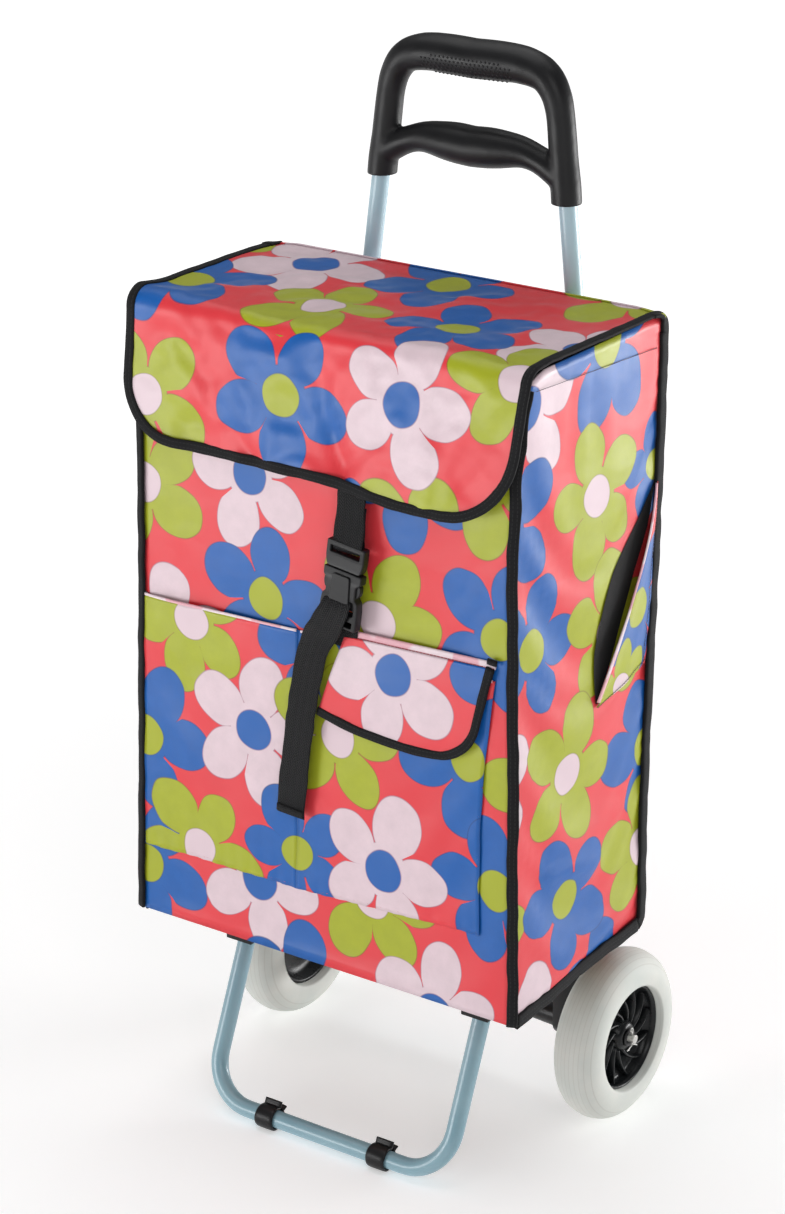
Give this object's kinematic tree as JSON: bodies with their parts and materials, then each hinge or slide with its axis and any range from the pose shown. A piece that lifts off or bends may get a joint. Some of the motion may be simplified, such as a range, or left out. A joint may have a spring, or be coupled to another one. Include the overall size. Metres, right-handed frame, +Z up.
{
  "type": "shopping trolley",
  "caption": "Wheeled shopping trolley: tube frame with a moulded handle and folding stand, carrying a lidded fabric bag with front and side pockets, a strap and a side-release buckle.",
  "frame": {"origin": "on the ground, under the middle of the whole trolley's bounding box", "axes": "+X across the trolley, to the right as its pocketed front is faced; +Y backwards, towards the handle and the wheels; +Z up"},
  "size_m": [0.42, 0.2904, 0.9539],
  "materials": {
    "pale_blue_paint": "satin powder coat",
    "black_plastic": "fine matte moulded texture",
    "grey_tyre": "smooth solid foam, matte",
    "steel": "zinc plated",
    "floral_fabric": "coated polyester with a large printed flower pattern, slight sheen",
    "black_tape": "woven tape and webbing",
    "hardboard": "bare"
  },
  "bodies": {
    "trolley": {"upright_left": "pale_blue_paint", "upright_right": "pale_blue_paint", "handle_grip": "black_plastic", "base_rail_left": "pale_blue_paint", "base_rail_right": "pale_blue_paint", "axle_bracket_left": "black_plastic", "axle_bracket_right": "black_plastic", "bracket_screw_left": "steel", "bracket_screw_right": "steel", "axle_rod": "steel", "axle_tube": "pale_blue_paint", "axle_washer_left": "steel", "axle_washer_right": "steel", "split_pin_left": "steel", "split_pin_right": "steel", "stand_collar_left": "black_plastic", "stand_collar_right": "black_plastic", "stand_pin_left": "steel", "stand_pin_right": "steel", "bag_front": "floral_fabric", "bag_back": "floral_fabric", "bag_side_left": "floral_fabric", "bag_side_right": "floral_fabric", "bag_bottom": "floral_fabric", "base_board": "hardboard", "binding_front_left": "black_tape", "binding_front_right": "black_tape", "binding_back_left": "black_tape", "binding_back_right": "black_tape", "binding_bottom_left": "black_tape", "binding_bottom_right": "black_tape", "bag_loop_lower_left": "black_tape", "bag_loop_lower_right": "black_tape", "bag_loop_upper_left": "black_tape", "bag_loop_upper_right": "black_tape", "front_pocket_left": "floral_fabric", "front_pocket_right": "floral_fabric", "side_pocket": "floral_fabric", "strap_lower": "black_tape", "strap_tail": "black_tape", "buckle_socket": "black_plastic"},
    "wheel_left": {"tyre_left": "grey_tyre", "wheel_hub_left": "black_plastic"},
    "wheel_right": {"tyre_right": "grey_tyre", "wheel_hub_right": "black_plastic"},
    "stand": {"stand_loop": "pale_blue_paint", "stand_clip_left": "black_plastic", "stand_clip_right": "black_plastic"},
    "lid": {"lid_top": "floral_fabric", "lid_binding_left": "black_tape", "lid_binding_right": "black_tape"},
    "lid_flap": {"lid_flap": "floral_fabric", "lid_flap_binding": "black_tape", "strap_upper": "black_tape", "buckle_plug": "black_plastic"},
    "prong_left": {"buckle_prong_left": "black_plastic"},
    "prong_right": {"buckle_prong_right": "black_plastic"},
    "pocket_flap": {"pocket_flap": "floral_fabric", "pocket_flap_binding": "black_tape"}
  },
  "joints": [
    {"name": "wheel_left_spin", "type": "hinge", "parent": "trolley", "child": "wheel_left", "pos_m": [-0.179, 0.0653, 0.08], "axis": [1, 0, 0], "continuous": true},
    {"name": "wheel_right_spin", "type": "hinge", "parent": "trolley", "child": "wheel_right", "pos_m": [0.179, 0.0653, 0.08], "axis": [1, 0, 0], "continuous": true},
    {"name": "stand_fold", "type": "hinge", "parent": "trolley", "child": "stand", "pos_m": [0, -0.0619, 0.168], "axis": [1, 0, 0], "range_deg": [0, 70]},
    {"name": "lid_open", "type": "hinge", "parent": "trolley", "child": "lid", "pos_m": [0, 0.0998, 0.7505], "axis": [-1, 0, 0], "range_deg": [0, 84], "deforming": ["buckle_prong_left", "buckle_prong_right"]},
    {"name": "flap_lift", "type": "hinge", "parent": "lid", "child": "lid_flap", "pos_m": [0, -0.1, 0.756], "axis": [-1, 0, 0], "range_deg": [0, 90], "deforming": ["buckle_prong_left", "buckle_prong_right"]},
    {"name": "prong_left_press", "type": "slide", "parent": "lid_flap", "child": "prong_left", "axis": [0.9914, -0.0072, -0.1303], "range_m": [0, 0.0025], "stiffness_N_per_m": 600},
    {"name": "prong_right_press", "type": "slide", "parent": "lid_flap", "child": "prong_right", "axis": [-0.9914, 0.0072, 0.1303], "range_m": [0, 0.0025], "stiffness_N_per_m": 600},
    {"name": "pocket_flap_lift", "type": "hinge", "parent": "trolley", "child": "pocket_flap", "pos_m": [0.098, -0.11889, 0.49731], "axis": [-0.9994, -0.0019, -0.0341], "range_deg": [0, 110]}
  ]
}
